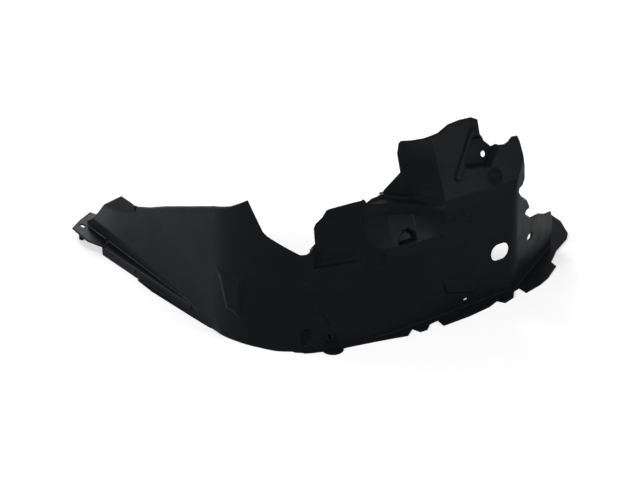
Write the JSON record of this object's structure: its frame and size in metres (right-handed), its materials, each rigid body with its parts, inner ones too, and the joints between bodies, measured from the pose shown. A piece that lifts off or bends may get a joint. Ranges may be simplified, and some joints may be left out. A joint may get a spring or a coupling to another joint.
{
  "type": "splash shield",
  "caption": "Moulded front wheel-arch splash shield: a thin curved wall with a low ledge and tab at its tail, a strut notch, a deep stepped front with pockets, and a lip flange.",
  "frame": {"origin": "centre of the bounding box in plan, on the plane of the outer lip that the shield stands on", "axes": "+X along the car towards the deep front end, +Y into the wheel space, +Z from the outer lip towards the inboard edge"},
  "size_m": [0.9294, 0.5017, 0.321],
  "materials": {
    "black_plastic": "satin moulded black polypropylene with a fine grain"
  },
  "bodies": {
    "root": {"splash_shield": "black_plastic"}
  },
  "joints": []
}
